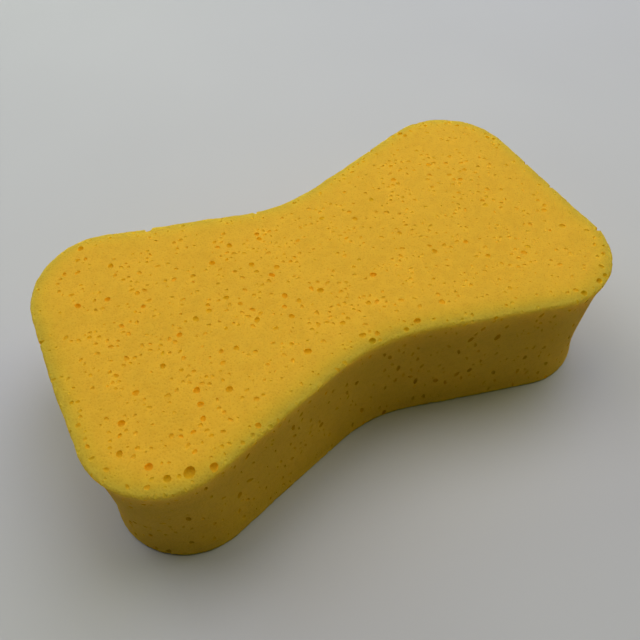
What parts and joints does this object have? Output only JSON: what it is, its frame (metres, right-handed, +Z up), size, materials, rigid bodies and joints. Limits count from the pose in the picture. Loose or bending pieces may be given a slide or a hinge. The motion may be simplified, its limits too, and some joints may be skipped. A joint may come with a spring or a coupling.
{
  "type": "cleaning sponge",
  "caption": "Thick block of coarse open-cell foam for washing and wiping, die-cut to an hourglass with two rounded lobes and a narrow waist that the hand grips.",
  "frame": {"origin": "middle of the flat underside", "axes": "+X along the block's length, +Y across it from the middle of one waist hollow to the other, +Z up out of the top face"},
  "size_m": [0.22, 0.1226, 0.0585],
  "materials": {
    "foam": "matte"
  },
  "bodies": {
    "root": {"sponge": "foam"}
  },
  "joints": []
}
